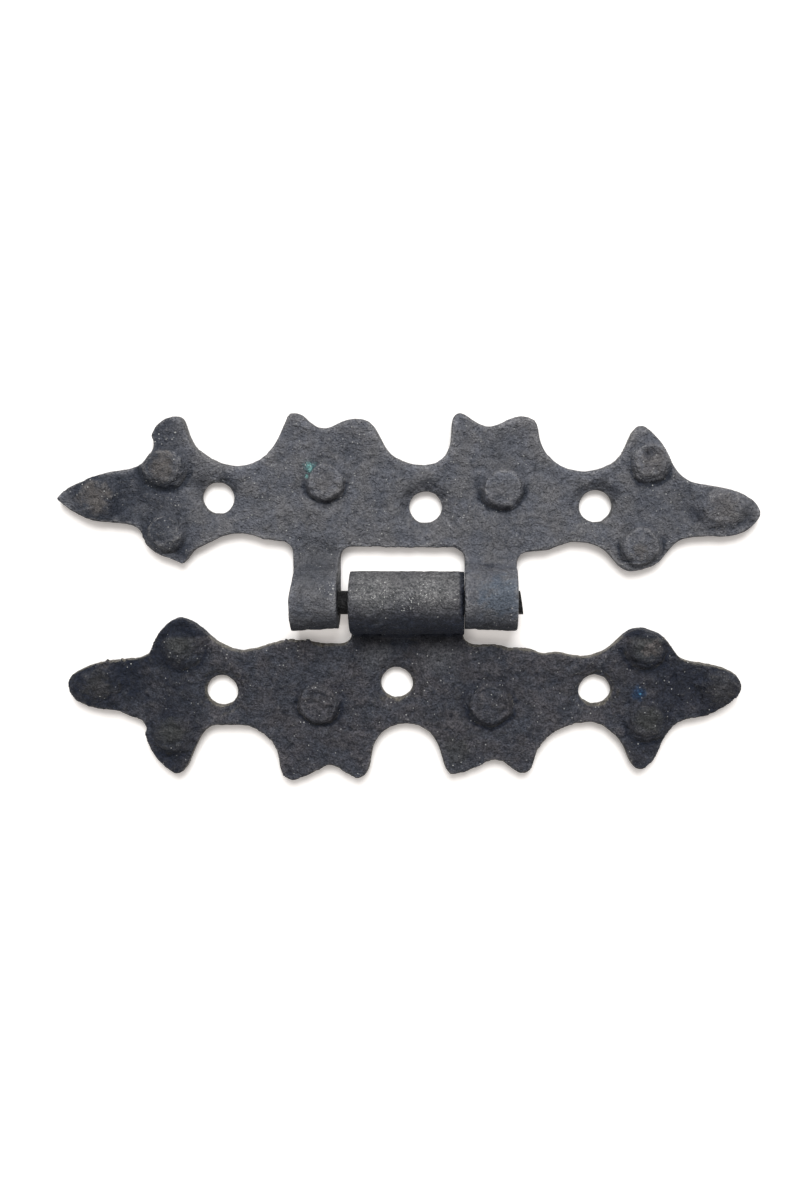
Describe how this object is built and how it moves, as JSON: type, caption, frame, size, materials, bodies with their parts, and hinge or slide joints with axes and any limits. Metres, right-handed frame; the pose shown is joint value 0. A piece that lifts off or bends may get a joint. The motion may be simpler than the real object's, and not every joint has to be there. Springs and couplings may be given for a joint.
{
  "type": "decorative hinge",
  "caption": "Surface-mounted decorative hinge of dark rough-finished sheet: scrolled leaves with pressed bosses and dished screw holes turn on a pin through rolled knuckles.",
  "frame": {"origin": "on the plane of the leaves' backs, straight under the pin's axis and the middle of the centre knuckle", "axes": "+X along the pin, towards its sheared end; +Y towards the leaf with two knuckles; +Z out of the leaves' fronts"},
  "size_m": [0.1191, 0.0632, 0.0106],
  "materials": {
    "upper_leaf_finish": "matte charcoal oxide with fine grain and brown rubbed edges",
    "lower_leaf_finish": "matte blue-black oxide with fine grain and brown rubbed edges",
    "pin_finish": "matte dark oxide, rubbed where it turns"
  },
  "bodies": {
    "upper_leaf": {"upper_leaf": "upper_leaf_finish", "hinge_pin": "pin_finish"},
    "lower_leaf": {"lower_leaf": "lower_leaf_finish"}
  },
  "joints": [
    {"name": "leaf_hinge", "type": "hinge", "parent": "upper_leaf", "child": "lower_leaf", "pos_m": [0, 0, 0.0053], "axis": [-1, 0, 0], "range_deg": [-80, 180]}
  ]
}
